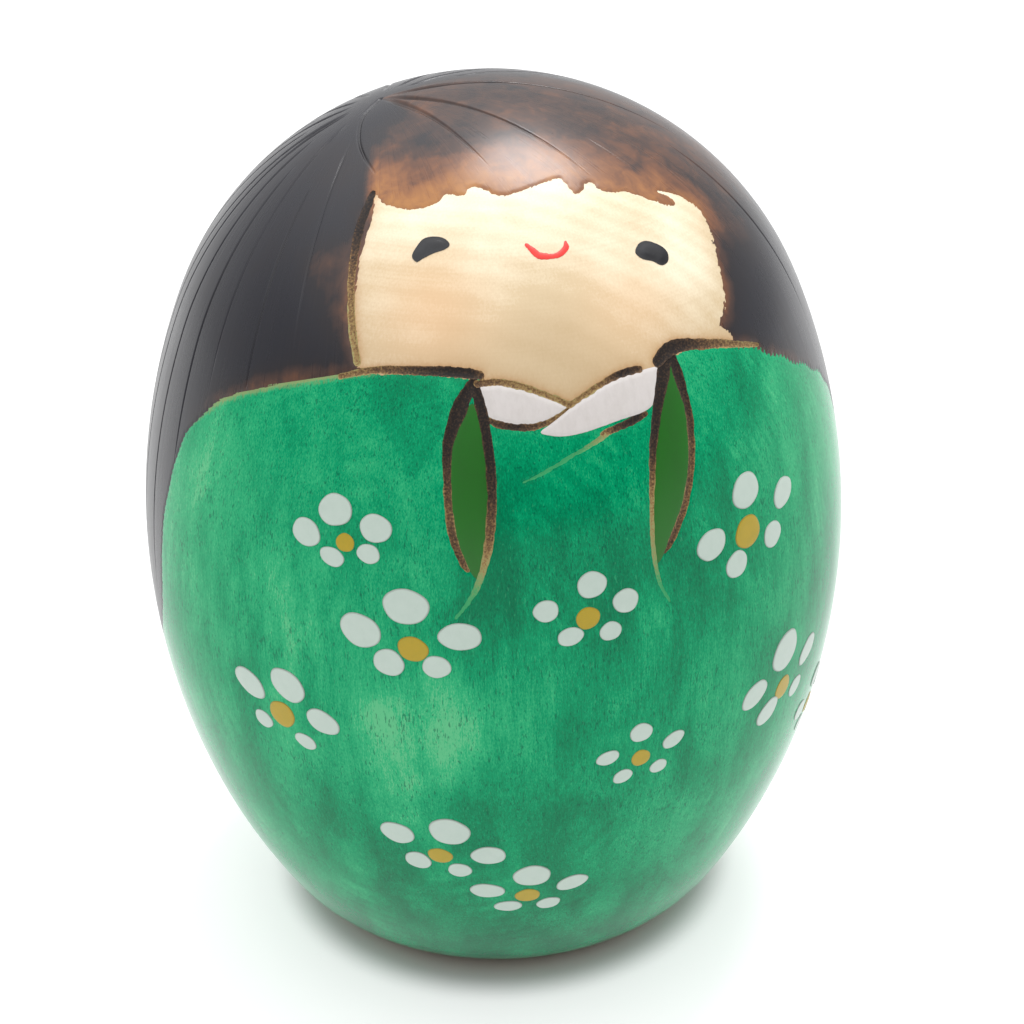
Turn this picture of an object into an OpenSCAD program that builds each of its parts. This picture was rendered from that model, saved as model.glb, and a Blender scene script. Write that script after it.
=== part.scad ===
// Egg-shaped kokeshi doll: one turned block of pale wood that carries its hair, dress,
// burnt outlines and painted dabs as thin separate layers.
// Millimetres. +Z is up and is the turning axis, the foot rests on z = 0, the doll faces -Y.

/* [Wooden body] */
// Height of the bare wood
body_h = 100; // [98:0.5:104]
// Radius at the widest level
belly_r = 40; // [39:0.25:41]
// Height of the widest level
belly_z = 48; // [46:0.5:50]
// Radius of the side arc above the widest level
upper_r = 76; // [74:1:80]
// Radius of the side arc below the widest level
lower_r = 80; // [76:1:84]
// Radius of the rounded edge round the foot
edge_r = 15; // [13:0.5:17]

/* [Layers] */
// Thickness of the green dye and lacquer on the dress
dress_t = 0.2; // [0.15:0.05:0.4]
// Thickness of the black hair coat between its grooves
hair_t = 0.4; // [0.3:0.05:0.6]
// Thickness left under a groove in the hair
groove_floor_t = 0.15; // [0.1:0.05:0.2]
// Thickness of the char in a burnt line, which stays below the dress
char_t = 0.1; // [0.05:0.01:0.14]
// Thickness of a dab of paint
dab_t = 0.2; // [0.1:0.05:0.3]
// Height where the dress ends above the foot
dress_hem_z = 2; // [1:0.5:4]

/* [Hair] */
// Side-to-side place of the crown point where the grooves meet
whorl_x = -10.5; // [-14:0.5:0]
// Front-to-back place of the crown point
whorl_y = 3; // [-4:0.5:8]
// Width of a groove at the crown point
groove_w = 0.9; // [0.4:0.1:1.4]
// Height of the long hair's hem at the back
hair_hem_z = 29; // [20:1:40]

/* [Flowers] */
// Size of every flower against its own size in the list
flower_size = 1; // [0.8:0.05:1.1]

/* [Hidden] */
$fn = 144;
FAR = 60;          // reaches past the body in any direction
SPAN_STEPS = 4;    // straight pieces in each span of a drawn curve

// The profile is four arcs that meet tangentially: crown, upper side, lower side and foot edge.
rise = body_h - belly_z;
upper_x = belly_r - upper_r;
lower_x = belly_r - lower_r;
crown_r = (upper_r * upper_r - upper_x * upper_x - rise * rise) / (2 * (upper_r - rise));
crown_z = body_h - crown_r;
foot_r = lower_x + sqrt(pow(lower_r - edge_r, 2) - pow(belly_z - edge_r, 2));
crown_join = atan2(crown_z - belly_z, -upper_x);
edge_join = atan2(belly_z - edge_r, foot_r - lower_x);

// Outlines on the front, as [x, z] seen from the front.
SKIN = [
    [-14.3, 94], [-8.3, 94.5], [-2.5, 94.8], [3.4, 95.3], [8.5, 93.8], [14, 92.6], [18, 90.6],
    [19.6, 87.5], [19.6, 84], [19.2, 79.6], [14.5, 80.9], [10.4, 81.2], [7.8, 80.2], [4.2, 79.4],
    [0.5, 77.8], [-2.3, 79.3], [-4.8, 80.2], [-8, 80.8], [-13, 81.3], [-18, 81], [-18.8, 85.5], [-17.6, 90.2]
];
COLLAR_LEFT = [
    [-7.6, 79.7], [-5, 79.4], [-2.4, 78.6], [-0.4, 77.6], [-1.3, 76.9], [-3.2, 76.8], [-5.4, 76.9],
    [-7.1, 77.2], [-7.5, 78.4]
];
COLLAR_RIGHT = [
    [-2.6, 75.6], [-0.4, 76.8], [1.9, 77.9], [4.8, 78.8], [7, 79.3], [9.5, 79.2], [9.1, 77.9],
    [8.1, 76.6], [5.5, 76], [2.4, 75.5]
];
SLEEVE_LEFT = [
    [-8.5, 79.6], [-10.5, 78], [-11.6, 74.9], [-12, 70.6], [-11.6, 66.8], [-10.8, 64], [-9.9, 62.6],
    [-8.9, 63.5], [-8.2, 66.8], [-7.5, 70.6], [-7.2, 74.9], [-7.6, 78]
];
SLEEVE_RIGHT = [
    [11.5, 79.6], [12.9, 77.3], [13.3, 73.5], [12.9, 70], [11.9, 66.6], [10.4, 63.6], [9, 62],
    [8, 63], [8, 66.7], [8.3, 71.2], [8.9, 74.7], [10, 78]
];

// Burnt lines on the front, as [x, z, half width].
NECK_LINES = [
    [[-18.5, 80.9, 0.3], [-13, 81.3, 0.5], [-8.2, 81, 0.6], [-4.8, 80, 0.4], [-2.3, 79.1, 0.3],
        [0.6, 77.7, 0.3]],
    [[0.6, 77.7, 0.3], [2.9, 78.8, 0.3], [5.3, 79.7, 0.3], [8.2, 80.2, 0.5], [10.6, 81.1, 0.7],
        [15.3, 80.7, 0.5], [20.2, 78.9, 0.4]]
];
COLLAR_LINES = [
    [[-7.3, 76.8, 0.2], [-5.3, 76.4, 0.4], [-3.1, 76.2, 0.4], [-1.2, 76.4, 0.2]],
    [[4.6, 75.2, 0.2], [6.2, 75.5, 0.4], [8.2, 76.1, 0.4]],
    [[-4.2, 71.5, 0.1], [-0.8, 72.8, 0.3], [1.9, 73.8, 0.3], [4.2, 74.8, 0.2]]
];
SLEEVE_LINES_LEFT = [
    [[-8.6, 80.3, 0.4], [-10.7, 78, 0.4], [-11.8, 74.9, 0.4], [-12.2, 70.6, 0.4], [-11.8, 66.8, 0.3],
        [-11, 64, 0.2]],
    [[-8.4, 80, 0.3], [-7.5, 77.9, 0.4], [-7, 74.9, 0.4], [-7.3, 70.5, 0.4], [-8, 66.8, 0.4],
        [-9.3, 62.4, 0.3], [-10.7, 59.7, 0.2], [-12, 57.9, 0.1]]
];
SLEEVE_LINES_RIGHT = [
    [[11.6, 80.3, 0.4], [9.8, 77.9, 0.4], [8.7, 74.7, 0.4], [8, 71.2, 0.4], [7.8, 66.7, 0.4],
        [7.8, 62, 0.3], [8.6, 59.3, 0.2], [9.3, 57.5, 0.1]],
    [[12, 80, 0.3], [13.1, 77.3, 0.4], [13.5, 73.5, 0.4], [13.1, 70, 0.4], [12.1, 66.6, 0.3],
        [10.6, 63.4, 0.2]]
];
// Where the two lines of each sleeve run together at the shoulder, left and right.
SLEEVE_TIPS = [[-8.6, 79.7], [11.8, 79.5]];
SLEEVE_TIP_R = 0.6;
CHEEK_LINE = [[[-18.4, 82.5, 0.3], [-18.9, 85.8, 0.4], [-18, 89.2, 0.4], [-16.2, 92, 0.3]]];

// Where the hair ends on the doll's sides and back, as [y, z] seen from the side.
HEM = [[-4.5, 42.5], [2, 36.5], [12, hair_hem_z + 3], [25, hair_hem_z], [FAR, hair_hem_z]];
HEM_LEFT = concat([
    [-FAR, 81.3], [-28.5, 81.2], [-23.1, 79], [-19.5, 76.9], [-14.7, 73.4], [-11.9, 69.6], [-10.6, 65],
    [-9.6, 57], [-8.2, 50]
], HEM);
HEM_RIGHT = concat([
    [-FAR, 81.3], [-30.5, 81.1], [-26.8, 78.9], [-22.5, 74.6], [-17.6, 69.6], [-14, 64], [-11.5, 57],
    [-9.2, 50]
], HEM);

// Hair grooves, all from the crown point: [direction from +X, where it starts, lowest height].
FRONT_GROOVES = [[-68, 0, 96], [-49, 0, 94], [-39, 23, 92], [-31, 26, 90], [-22, 30, 72], [-14, 1, 93]];
SIDE_GROOVES = [[-120, 8, 78], [-131, 14, 70], [-143, 5, 72], [-153, 12, 60], [-164, 8, 46], [-175, 3, 44]];
BACK_GROOVES = [for (i = [0 : 13]) [178 - 13 * i, 3 + 5 * (i % 2), 38 + 9 * (i % 3)]];
CROWN_LOCK = [[-10.5, 3], [-13, -0.4], [-14.2, -4.8], [-14.3, -8.4], [-13.8, -11.5]];

// Eyes as [x, z, half length, half height, slope], and the mouth as [x, z, half width].
EYES = [[-10.4, 90.9, 1.9, 1.1, 12], [11.7, 88.8, 1.8, 1.2, -20]];
MOUTH = [[-1.3, 90.9, 0.2], [-0.5, 90.2, 0.3], [0.9, 89.9, 0.3], [2.2, 90, 0.3], [3, 90.7, 0.2]];

// One flower: five dabs round a centre, each [across, up, half width, half height] in millimetres.
DABS = [
    [0.4, 4, 1.8, 1.5], [-4.5, 1.5, 1.7, 1.3], [4.8, 1.3, 1.7, 1.2], [-2.2, -1.8, 1.3, 1.1],
    [2.6, -1.9, 1.2, 1]
];
CENTRE = [1.5, 1.2];
// The flowers, each [turn round the body from the front, height, width, height factor, dab factor, tilt].
FLOWERS = [
    [-35, 64.5, 0.8, 0.85, 0.95, 8], [-24.5, 54.5, 1.1, 1.1, 1.2, 2], [-46.5, 43, 1.05, 1.05, 1.05, -5],
    [1, 57, 0.9, 0.9, 0.8, 0], [29.5, 61, 1.2, 1.1, 1.1, 5], [9.5, 39, 0.8, 0.9, 0.75, 2],
    [39, 39.5, 1.05, 1.1, 1.2, 3], [56, 30.5, 0.9, 0.9, 0.9, 0], [-22.5, 27, 1.05, 1.05, 1.1, -7],
    [-8, 20, 1, 0.95, 1, -2], [84, 30, 0.95, 1, 1, 4], [110, 18, 1, 0.95, 1, -3], [146, 21, 1.05, 1, 1.1, 2],
    [-169, 17, 0.9, 0.9, 0.9, 0], [-133, 21, 1, 1, 1, -5], [-98, 25, 1, 1.05, 1.1, 3]
];

function flower_name(i, what) = str("flower_", i < 10 ? "0" : "", i, "_", what);

// Radius of the bare wood at height z, and how far its surface leans back from upright there.
function body_r(z) =
    z > belly_z + upper_r * sin(crown_join) ? sqrt(crown_r * crown_r - pow(z - crown_z, 2)) :
    z > belly_z ? upper_x + sqrt(upper_r * upper_r - pow(z - belly_z, 2)) :
    z > belly_z - lower_r * sin(edge_join) ? lower_x + sqrt(lower_r * lower_r - pow(z - belly_z, 2)) :
    foot_r + sqrt(edge_r * edge_r - pow(z - edge_r, 2));
function lean(z) =
    z > belly_z + upper_r * sin(crown_join) ? asin((z - crown_z) / crown_r) :
    z > belly_z ? asin((z - belly_z) / upper_r) :
    z > belly_z - lower_r * sin(edge_join) ? asin((z - belly_z) / lower_r) : asin((z - edge_r) / edge_r);

// A smooth curve through the points p, open or closed, and the band round it.
function at(p, i, closed) = closed ? p[(i + len(p)) % len(p)] : p[max(0, min(len(p) - 1, i))];
function blend(a, b, c, d, t) =
    0.5 * (2 * b + (c - a) * t + (2 * a - 5 * b + 4 * c - d) * t * t + (3 * b - a - 3 * c + d) * t * t * t);
function curve(p, closed = false) = concat(
    [for (i = [0 : len(p) - (closed ? 1 : 2)], k = [0 : SPAN_STEPS - 1])
        blend(at(p, i - 1, closed), p[i], at(p, i + 1, closed), at(p, i + 2, closed), k / SPAN_STEPS)],
    closed ? [] : [p[len(p) - 1]]
);
function side(c, i) =
    let (d = at(c, i + 1, false) - at(c, i - 1, false)) [-d[1], d[0]] / norm([d[0], d[1]]);
function band(c) = concat(
    [for (i = [0 : len(c) - 1]) [c[i][0], c[i][1]] + c[i][2] * side(c, i)],
    [for (i = [len(c) - 1 : -1 : 0]) [c[i][0], c[i][1]] - c[i][2] * side(c, i)]
);

// ---- Solids that every layer is cut from ----

// The part of a half profile between two heights.
module level_band(z0, z1) {
    intersection() {
        translate([0, z0]) square([FAR, FAR]);
        translate([0, z1]) mirror([0, 1]) square([FAR, FAR]);
        children();
    }
}

// The body's profile, moved out by t.
module profile(t) {
    crown_join_z = belly_z + (upper_r + t) * sin(crown_join);
    edge_join_z = belly_z - (lower_r + t) * sin(edge_join);
    level_band(crown_join_z, body_h + t) translate([0, crown_z]) circle(crown_r + t);
    level_band(belly_z, crown_join_z) translate([upper_x, belly_z]) circle(upper_r + t);
    level_band(edge_join_z, belly_z) translate([lower_x, belly_z]) circle(lower_r + t);
    level_band(0, edge_join_z) {
        translate([foot_r, edge_r]) circle(edge_r + t);
        square([foot_r, edge_join_z]);
    }
}

module egg(t = 0) {
    rotate_extrude() profile(t);
}

// What lies between two offsets of the body, inside the children.
module layer(t0, t1) {
    difference() {
        intersection() {
            egg(t1);
            union() children();
        }
        egg(t0);
    }
}

// A shape drawn on the front view, run straight back as far as the axis.
module from_front() {
    rotate([90, 0, 0]) linear_extrude(FAR) children();
}

// All that lies below the hair's hem.
module below_hem() {
    for (s = [[-FAR, HEM_LEFT], [0, HEM_RIGHT]])
        translate([s[0], 0, 0]) rotate([90, 0, 90]) linear_extrude(FAR)
            polygon(concat(curve(s[1]), [[FAR, -1], [-FAR, -1]]));
}

// The frame of the surface at a turn and height: x across, y up, z outwards.
module on_skin(turn, z) {
    rotate([0, 0, turn]) translate([0, -body_r(z), z]) rotate([90 - lean(z), 0, 0]) children();
}

module bands(lines) {
    for (p = lines) polygon(band(curve(p)));
}

module sleeve_strokes(lines, tip) {
    bands(lines);
    translate(tip) circle(SLEEVE_TIP_R);
}

// ---- Sub-parts ----

module turned_body() {
    color("burlywood") egg();
}

module grooves() {
    for (g = concat(FRONT_GROOVES, SIDE_GROOVES, BACK_GROOVES))
        translate([whorl_x, whorl_y, g[2]]) rotate([0, 0, g[0]]) linear_extrude(FAR)
            polygon([[g[1], -groove_w / 2], [FAR, -groove_w / 5], [FAR, groove_w / 5], [g[1], groove_w / 2]]);
    linear_extrude(2 * FAR) polygon(band([for (p = curve(CROWN_LOCK)) [p[0], p[1], groove_w / 2]]));
}

module hair_coat() {
    color([0.12, 0.1, 0.1]) difference() {
        union() {
            layer(0, groove_floor_t) cube(4 * FAR, center = true);
            difference() {
                layer(0, hair_t) cube(4 * FAR, center = true);
                grooves();
            }
        }
        below_hem();
        from_front() polygon(curve(SKIN, true));
        from_front() bands(CHEEK_LINE);
        from_front() bands(NECK_LINES);
    }
}

module dress_coat() {
    color([0.09, 0.6, 0.4]) difference() {
        layer(0, dress_t) intersection() {
            below_hem();
            translate([-FAR, -FAR, dress_hem_z]) cube(2 * FAR);
        }
        from_front() {
            polygon(curve(SKIN, true));
            for (p = [COLLAR_LEFT, COLLAR_RIGHT, SLEEVE_LEFT, SLEEVE_RIGHT]) polygon(curve(p, true));
            for (l = [NECK_LINES, COLLAR_LINES]) bands(l);
            sleeve_strokes(SLEEVE_LINES_LEFT, SLEEVE_TIPS[0]);
            sleeve_strokes(SLEEVE_LINES_RIGHT, SLEEVE_TIPS[1]);
        }
    }
}

module neck_line() {
    color("saddlebrown") layer(0, char_t) from_front() bands(NECK_LINES);
}

module collar_line() {
    color("peru") layer(0, char_t) from_front() difference() {
        bands(COLLAR_LINES);
        bands(NECK_LINES);
        for (p = [COLLAR_LEFT, COLLAR_RIGHT]) polygon(curve(p, true));
    }
}

module cheek_line() {
    color("peru") layer(0, char_t) from_front() difference() {
        bands(CHEEK_LINE);
        polygon(curve(SKIN, true));
        bands(NECK_LINES);
    }
}

module sleeve_line(lines, tip) {
    color([0.25, 0.16, 0.1]) layer(0, char_t) from_front() difference() {
        sleeve_strokes(lines, tip);
        bands(NECK_LINES);
    }
}

module collar(outline) {
    color("whitesmoke") layer(0, dress_t) from_front() difference() {
        polygon(curve(outline, true));
        bands(NECK_LINES);
    }
}

module sleeve_lining(outline, lines, tip) {
    color([0.17, 0.45, 0.15]) layer(0, groove_floor_t) from_front() difference() {
        polygon(curve(outline, true));
        sleeve_strokes(lines, tip);
        bands(NECK_LINES);
    }
}

module eye(e) {
    color("black") layer(0, dab_t) from_front()
        translate([e[0], e[1]]) rotate(e[4]) scale([e[2], e[3] * cos(lean(e[1]))]) circle(1);
}

module mouth() {
    color("crimson") layer(0, dab_t) from_front() polygon(band(curve(MOUTH)));
}

// A dab or centre seen square on, at its place in flower f.
module dab_outline(f, d) {
    rotate(f[5]) translate([d[0] * f[2], d[1] * f[3]] * flower_size)
        scale([d[2], d[3]] * f[4] * flower_size) circle(1);
}

module flower_layer(f) {
    layer(dress_t, dress_t + dab_t) on_skin(f[0], f[1]) translate([0, 0, -6]) linear_extrude(9) children();
}

module flower_petals(f) {
    color([0.85, 0.9, 0.86]) flower_layer(f) for (d = DABS) dab_outline(f, d);
}

module flower_centre(f) {
    color([0.78, 0.64, 0.2]) flower_layer(f) difference() {
        dab_outline(f, [0, 0, CENTRE[0], CENTRE[1]]);
        for (d = DABS) dab_outline(f, d);
    }
}

turned_body();
hair_coat();
dress_coat();
neck_line();
collar_line();
cheek_line();
sleeve_line(SLEEVE_LINES_LEFT, SLEEVE_TIPS[0]);  // sleeve_line_left
sleeve_line(SLEEVE_LINES_RIGHT, SLEEVE_TIPS[1]);  // sleeve_line_right
collar(COLLAR_LEFT);  // collar_left
collar(COLLAR_RIGHT);  // collar_right
sleeve_lining(SLEEVE_LEFT, SLEEVE_LINES_LEFT, SLEEVE_TIPS[0]);  // sleeve_lining_left
sleeve_lining(SLEEVE_RIGHT, SLEEVE_LINES_RIGHT, SLEEVE_TIPS[1]);  // sleeve_lining_right
eye(EYES[0]);  // eye_left
eye(EYES[1]);  // eye_right
mouth();
for (i = [1 : len(FLOWERS)]) {
    flower_petals(FLOWERS[i - 1]);
    flower_centre(FLOWERS[i - 1]);
}
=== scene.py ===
"""Looks of an egg-shaped kokeshi doll: one turned block of pale wood whose hair, dress, burnt lines and
paint are thin finishes on one smooth surface.

One fine triangle mesh of the turned surface is cut exactly along every outline, and each finish is a
closed tile of it, lifted or sunk by a height of its own. Lengths are millimetres until a mesh is made.
"""
import math

import bmesh
import bpy
import numpy as np
from mathutils import Matrix, Vector, kdtree


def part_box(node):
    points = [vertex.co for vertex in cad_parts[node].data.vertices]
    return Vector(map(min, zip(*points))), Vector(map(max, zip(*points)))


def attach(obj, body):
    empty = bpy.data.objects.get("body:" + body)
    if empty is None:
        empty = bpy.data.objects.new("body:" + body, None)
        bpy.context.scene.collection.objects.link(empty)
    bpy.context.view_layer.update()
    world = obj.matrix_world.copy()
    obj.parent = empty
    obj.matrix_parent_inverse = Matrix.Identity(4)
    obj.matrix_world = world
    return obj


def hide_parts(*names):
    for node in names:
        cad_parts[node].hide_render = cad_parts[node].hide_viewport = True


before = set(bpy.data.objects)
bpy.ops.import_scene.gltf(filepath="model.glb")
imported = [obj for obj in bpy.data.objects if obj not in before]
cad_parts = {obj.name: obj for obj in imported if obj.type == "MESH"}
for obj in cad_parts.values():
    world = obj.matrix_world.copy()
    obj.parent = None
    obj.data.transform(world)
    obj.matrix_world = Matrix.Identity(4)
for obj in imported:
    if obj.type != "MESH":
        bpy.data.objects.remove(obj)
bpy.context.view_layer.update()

MM = 0.001
BODY_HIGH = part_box("turned_body")[1]
BODY_H = round(BODY_HIGH.z / MM, 1)
BELLY_R = round(BODY_HIGH.x / MM, 1)

# ---- The turned profile: foot, rounded edge, lower side, upper side and crown, all tangent ----

BELLY_Z = 48
UPPER_R = 76
LOWER_R = 80
EDGE_R = 15
RISE = BODY_H - BELLY_Z
UPPER_X = BELLY_R - UPPER_R
LOWER_X = BELLY_R - LOWER_R
CROWN_R = (UPPER_R ** 2 - UPPER_X ** 2 - RISE ** 2) / (2 * (UPPER_R - RISE))
CROWN_Z = BODY_H - CROWN_R
FOOT_R = LOWER_X + math.sqrt((LOWER_R - EDGE_R) ** 2 - (BELLY_Z - EDGE_R) ** 2)
CROWN_JOIN = math.degrees(math.atan2(CROWN_Z - BELLY_Z, -UPPER_X))
EDGE_JOIN = math.degrees(math.atan2(BELLY_Z - EDGE_R, FOOT_R - LOWER_X))


def profile_arc(centre, radius, start, end, steps=500):
    """Radius, height and outward normal at close steps along one arc of the half profile."""
    turn = np.radians(np.linspace(start, end, steps))
    out = np.c_[np.cos(turn), np.sin(turn)]
    return np.c_[np.array(centre) + radius * out, out]


PROFILE = np.vstack([
    [[0, 0, 0, -1]],
    profile_arc((FOOT_R, EDGE_R), EDGE_R, -90, -EDGE_JOIN),
    profile_arc((LOWER_X, BELLY_Z), LOWER_R, -EDGE_JOIN, 0)[1:],
    profile_arc((UPPER_X, BELLY_Z), UPPER_R, 0, CROWN_JOIN)[1:],
    profile_arc((0, CROWN_Z), CROWN_R, CROWN_JOIN, 90)[1:],
])
RAY = np.arctan2(PROFILE[:, 1] - BELLY_Z, PROFILE[:, 0])


def on_egg(p):
    """The points of the surface on the rays from the middle of the belly through p, and the normals there."""
    flat = np.hypot(p[:, 0], p[:, 1])
    ray = np.arctan2(p[:, 2] - BELLY_Z, flat)
    radius, height, normal_r, normal_z = (np.interp(ray, RAY, PROFILE[:, i]) for i in range(4))
    around = p[:, :2] / np.maximum(flat, 1e-9)[:, None]
    return np.c_[around * radius[:, None], height], np.c_[around * normal_r[:, None], normal_z]


def radius_at(z):
    """The body's radius at a height."""
    return np.interp(z, PROFILE[1:, 1], PROFILE[1:, 0])


def azimuth(p):
    """Turn round the body in degrees: 0 at the front, positive towards +X."""
    return np.degrees(np.arctan2(p[:, 0], -p[:, 1]))


def from_front(xz):
    """Points of the front of the body that show at [x, z] in the front view."""
    xz = np.asarray(xz, float)
    r = radius_at(xz[:, 1])
    return np.c_[xz[:, 0], -np.sqrt(np.maximum(r ** 2 - xz[:, 0] ** 2, 0)), xz[:, 1]]


def from_turn(turn_z):
    """Points of the body at [azimuth, z]."""
    turn_z = np.asarray(turn_z, float)
    r = radius_at(turn_z[:, 1])
    turn = np.radians(turn_z[:, 0])
    return np.c_[r * np.sin(turn), -r * np.cos(turn), turn_z[:, 1]]


def smooth(points, closed=False, steps=6):
    """A smooth curve through the points, whatever their columns mean."""
    p = np.asarray(points, float)
    p = np.vstack([p[-1:], p, p[:2]]) if closed else np.vstack([p[:1], p, p[-1:]])
    t = np.arange(steps)[:, None] / steps
    spans = [
        0.5 * (2 * b + (c - a) * t + (2 * a - 5 * b + 4 * c - d) * t ** 2 + (3 * b - a - 3 * c + d) * t ** 3)
        for a, b, c, d in zip(p, p[1:], p[2:], p[3:])
    ]
    return np.vstack(spans + ([] if closed else [p[-2:-1]]))


def unit(v):
    """The rows of v at length 1."""
    return v / np.maximum(np.linalg.norm(v, axis=1), 1e-12)[:, None]


def ease(x, low, high):
    """0 below low, 1 above high and smooth between them. low may be above high."""
    t = np.clip((x - low) / (high - low), 0, 1)
    return t * t * (3 - 2 * t)


# ---- Outlines. Those on the front are [x, z] in the front view ----

FACE = [
    [-14.3, 94], [-13.6, 93.6], [-12.2, 93.4], [-10.8, 93.5], [-9.4, 93.8], [-8.6, 94.1], [-7.8, 94.6],
    [-6.2, 94.6], [-5.2, 95.1], [-4.2, 95], [-3.2, 94.6], [-2, 94.5], [-0.6, 94.7], [1.4, 95], [3.5, 95.2],
    [4.2, 94.8], [4.8, 94.1], [5.7, 94.1], [6.3, 94.5], [7, 94.6], [7.6, 94], [8.6, 93.6], [10.2, 93.4],
    [11.4, 93], [12.6, 92.4], [14, 91.8], [15.1, 91.3], [15.9, 91.3], [15.4, 91.8], [14.2, 92.5],
    [15.6, 92.1], [17.3, 91.2], [18.6, 90.1], [19.2, 88.9], [19.4, 87], [19.4, 85], [19.2, 83.4],
    [18.8, 82.3], [18, 81.3], [18.9, 80.6], [19.2, 79.4], [14.5, 80.4], [11, 79.9], [9.2, 78.9],
    [4.2, 79.1], [0.5, 77.7], [-2.3, 79], [-4.8, 79.8], [-8, 80.6], [-13, 81], [-18.4, 80.8],
    [-18.5, 83.6], [-18.3, 85.8], [-17.7, 87.7], [-16.9, 89.6], [-15.9, 91.3], [-14.9, 92.8]
]
EYE_LEFT = [
    [-12.2, 90.2], [-11.6, 90.9], [-10.8, 91.5], [-9.8, 91.7], [-8.9, 91.6], [-8.5, 91.2], [-9, 90.85],
    [-10.2, 90.5], [-11.2, 90.1], [-11.9, 89.8]
]
EYE_RIGHT = [
    [9.8, 89.1], [10.3, 89.6], [11.1, 89.7], [12, 89.4], [12.9, 88.9], [13.4, 88.3], [13.2, 87.7],
    [12.4, 87.6], [11.5, 88.1], [10.4, 88.5]
]
COLLAR_LEFT = [
    [-7.9, 80.3], [-6.4, 80.3], [-4.9, 80], [-3, 79.3], [-1.2, 78.5], [0.3, 77.8], [-0.4, 77.1],
    [-1.3, 76.8], [-2.8, 76.5], [-4.3, 76.5], [-5.8, 76.7], [-7.1, 77], [-7.6, 78.4]
]
COLLAR_RIGHT = [
    [-2.6, 75.8], [-1.4, 76.5], [-0.2, 77.2], [1.2, 78], [2.9, 78.7], [4.5, 79.3], [6.2, 79.7],
    [7.9, 79.8], [10.2, 79.7], [10, 78.4], [9.6, 77.3], [9, 76.5], [7.8, 76.1], [5.6, 75.9],
    [3.6, 75.6], [1.6, 75.3], [-0.3, 75.2], [-1.7, 75.4]
]
SLEEVE_LEFT = [
    [-8.8, 78.6], [-9.9, 77.6], [-10.8, 76.2], [-11.4, 74.3], [-11.7, 71.2], [-11.8, 68], [-11.4, 65.2],
    [-10.8, 63.4], [-9.8, 62], [-9, 63.6], [-8.5, 66.8], [-8.1, 70], [-7.9, 73.3], [-8, 76.2], [-8.3, 77.8]
]
SLEEVE_RIGHT = [
    [11.7, 79.8], [12.3, 77.6], [12.8, 75.2], [12.9, 72.4], [12.5, 69.6], [11.7, 66.8], [10.7, 64.6],
    [9.4, 62.5], [8.3, 61.4], [8.1, 64], [8.2, 67.4], [8.5, 71], [9.2, 74.6], [10, 77.4], [10.9, 79.3]
]

# Burnt lines: [x, z, half width, char], where char runs from 1, black-brown, over 0, tan, to -1, where
# the line is only a pale trace in the dye.
NECK_LINES = [
    [[-20.5, 80, 0.3, 0.25], [-17.7, 80.9, 0.35, 0.35], [-15.2, 81.2, 0.4, 0.55], [-12.8, 81.3, 0.45, 0.8],
     [-10.5, 81.3, 0.5, 1], [-8.9, 81.2, 0.5, 1], [-7.7, 81, 0.4, 0.7]],
    [[-8.1, 80.3, 0.35, 0.5], [-6.1, 80.4, 0.35, 0.35], [-4.2, 80, 0.35, 0.25], [-2.3, 79.3, 0.3, 0.2],
     [-0.7, 78.6, 0.3, 0.2], [0.5, 77.9, 0.3, 0.3]],
    [[0.5, 77.9, 0.3, 0.25], [2.1, 78.6, 0.3, 0.2], [3.6, 79.2, 0.3, 0.3], [5.1, 79.7, 0.35, 0.6],
     [6.6, 79.95, 0.4, 0.9], [8.1, 79.95, 0.35, 0.6]],
    [[10.2, 80.2, 0.6, 1], [11.5, 80.9, 0.75, 1], [13.4, 80.9, 0.65, 0.9], [15.5, 80.4, 0.55, 0.6],
     [18, 79.7, 0.45, 0.4], [20.2, 78.9, 0.35, 0.3], [22.6, 78, 0.25, 0.25]],
]
COLLAR_LINES = [
    [[0.7, 78, 0.25, 0.15], [0.2, 77.5, 0.25, 0.2], [-0.9, 76.9, 0.3, 0.3], [-2.1, 76.5, 0.3, 0.45],
     [-3.6, 76.3, 0.35, 0.65], [-5.1, 76.4, 0.35, 0.85], [-6.5, 76.7, 0.35, 0.7], [-7.4, 77.1, 0.25, 0.5]],
    [[3.6, 74.9, 0.3, 0.25], [4.7, 75.15, 0.35, 0.55], [6, 75.4, 0.4, 0.85], [7.2, 75.7, 0.4, 0.95],
     [8.2, 75.9, 0.3, 0.6]],
    [[-4.7, 71.3, 0.1, -0.9], [-3.3, 71.8, 0.14, -0.75], [-1.8, 72.4, 0.17, -0.65], [0.2, 73.3, 0.2, -0.55],
     [1.8, 73.9, 0.22, -0.4], [3.9, 74.8, 0.3, -0.1]],
]
CHEEK_LINES = [
    [[-14.5, 94.1, 0.35, 1], [-15.8, 92.5, 0.5, 1], [-16.7, 91.2, 0.5, 0.95], [-17.5, 89.5, 0.45, 0.6],
     [-18.2, 87.6, 0.4, 0.35], [-18.6, 85.7, 0.4, 0.25], [-18.8, 83.7, 0.4, 0.2], [-18.8, 81.4, 0.35, 0.15]],
]
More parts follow.
